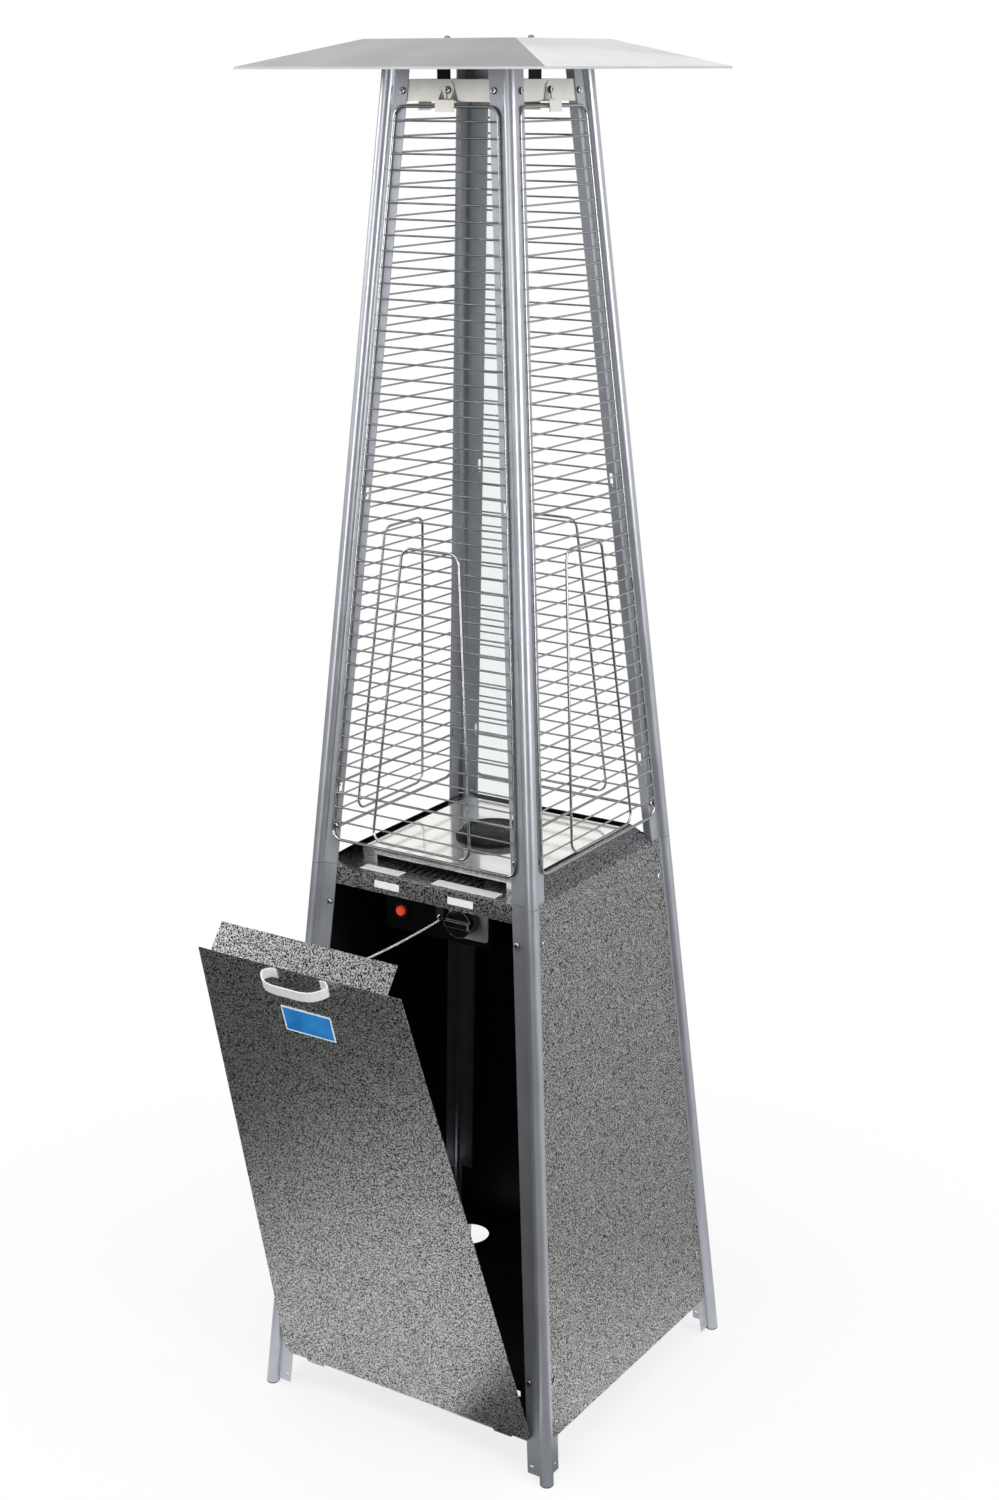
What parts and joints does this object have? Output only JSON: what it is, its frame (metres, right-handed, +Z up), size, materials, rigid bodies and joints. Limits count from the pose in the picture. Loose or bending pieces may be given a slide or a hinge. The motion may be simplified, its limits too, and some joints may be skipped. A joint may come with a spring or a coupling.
{
  "type": "pyramid patio heater",
  "caption": "Tapering gas patio heater with a glass flame tube behind wire grilles, a flat-topped square hood and a bottle cabinet whose front door leans open on a chain.",
  "frame": {"origin": "on the floor, at the middle of the whole heater's floor area with the door leaning open", "axes": "+Z up, the door faces -Y, the right side panel faces +X, seen from the front"},
  "size_m": [0.5958, 0.8668, 2.2755],
  "materials": {
    "post_paint": "silver-grey paint, satin",
    "foot_rubber": "matte black",
    "black_steel": "satin black paint",
    "hammertone": "hammered black and silver paint",
    "bright_steel": "bright sheet steel",
    "wire_chrome": "plated wire",
    "clear_glass": "clear",
    "ceramic": "glazed white ceramic",
    "pale_alloy": "satin",
    "brass": "machined",
    "black_plastic": "fine grain black",
    "red_plastic": "glossy red-orange"
  },
  "bodies": {
    "heater": {"lower_post_front_right": "post_paint", "lower_post_rear_right": "post_paint", "lower_post_rear_left": "post_paint", "lower_post_front_left": "post_paint", "upper_post_front_right": "post_paint", "upper_post_rear_right": "post_paint", "upper_post_rear_left": "post_paint", "upper_post_front_left": "post_paint", "foot_plug_front_right": "foot_rubber", "foot_plug_rear_right": "foot_rubber", "foot_plug_rear_left": "foot_rubber", "foot_plug_front_left": "foot_rubber", "base_shelf": "black_steel", "side_panel_right": "hammertone", "side_panel_rear": "hammertone", "side_panel_left": "hammertone", "control_tray": "hammertone", "burner_plate": "bright_steel", "tube_collar": "black_steel", "flame_tube": "clear_glass", "burner_head": "bright_steel", "mixing_tube": "bright_steel", "spark_electrode": "ceramic", "crossbar_front": "bright_steel", "crossbar_right": "bright_steel", "crossbar_rear": "bright_steel", "crossbar_left": "bright_steel", "tube_top_plate": "bright_steel", "grille_front": "wire_chrome", "grille_right": "wire_chrome", "grille_rear": "wire_chrome", "grille_left": "wire_chrome", "grille_loop_front": "wire_chrome", "grille_loop_right": "wire_chrome", "grille_loop_rear": "wire_chrome", "grille_loop_left": "wire_chrome", "hood": "pale_alloy", "hood_bracket_right": "black_steel", "hood_bracket_left": "black_steel", "hood_bolt_right": "bright_steel", "hood_bolt_left": "bright_steel", "control_box": "black_steel", "gas_valve": "brass", "dial_plate": "pale_alloy", "gas_inlet": "brass", "burner_pipe": "brass", "igniter": "black_plastic", "hinge_rod": "bright_steel", "door_chain": "bright_steel"},
    "door": {"door_panel": "hammertone", "door_handle": "bright_steel"},
    "stem": {"valve_stem": "bright_steel"},
    "knob": {"control_knob": "black_plastic"},
    "button": {"igniter_button": "red_plastic"},
    "clip_front": {"grille_clip_front": "bright_steel"},
    "clip_right": {"grille_clip_right": "bright_steel"},
    "clip_rear": {"grille_clip_rear": "bright_steel"},
    "clip_left": {"grille_clip_left": "bright_steel"}
  },
  "joints": [
    {"name": "door_hinge", "type": "hinge", "parent": "heater", "child": "door", "pos_m": [0, -0.13989, 0.064], "axis": [1, 0, 0], "range_deg": [-20.9, 0], "deforming": ["door_chain"]},
    {"name": "knob_press", "type": "slide", "parent": "heater", "child": "stem", "axis": [0, 1, 0], "range_m": [0, 0.003], "stiffness_N_per_m": 1500, "springref_m": -0.002},
    {"name": "knob_turn", "type": "hinge", "parent": "stem", "child": "knob", "pos_m": [0.06, -0.042, 0.909], "axis": [0, -1, 0], "range_deg": [0, 180]},
    {"name": "igniter_press", "type": "slide", "parent": "heater", "child": "button", "axis": [0, 1, 0], "range_m": [0, 0.005], "stiffness_N_per_m": 800, "springref_m": -0.002},
    {"name": "clip_front_slide", "type": "slide", "parent": "heater", "child": "clip_front", "axis": [0, 0.0797, 0.9968], "range_m": [0, 0.012]},
    {"name": "clip_right_slide", "type": "slide", "parent": "heater", "child": "clip_right", "axis": [-0.0797, 0, 0.9968], "range_m": [0, 0.012]},
    {"name": "clip_rear_slide", "type": "slide", "parent": "heater", "child": "clip_rear", "axis": [0, -0.0797, 0.9968], "range_m": [0, 0.012]},
    {"name": "clip_left_slide", "type": "slide", "parent": "heater", "child": "clip_left", "axis": [0.0797, 0, 0.9968], "range_m": [0, 0.012]}
  ]
}
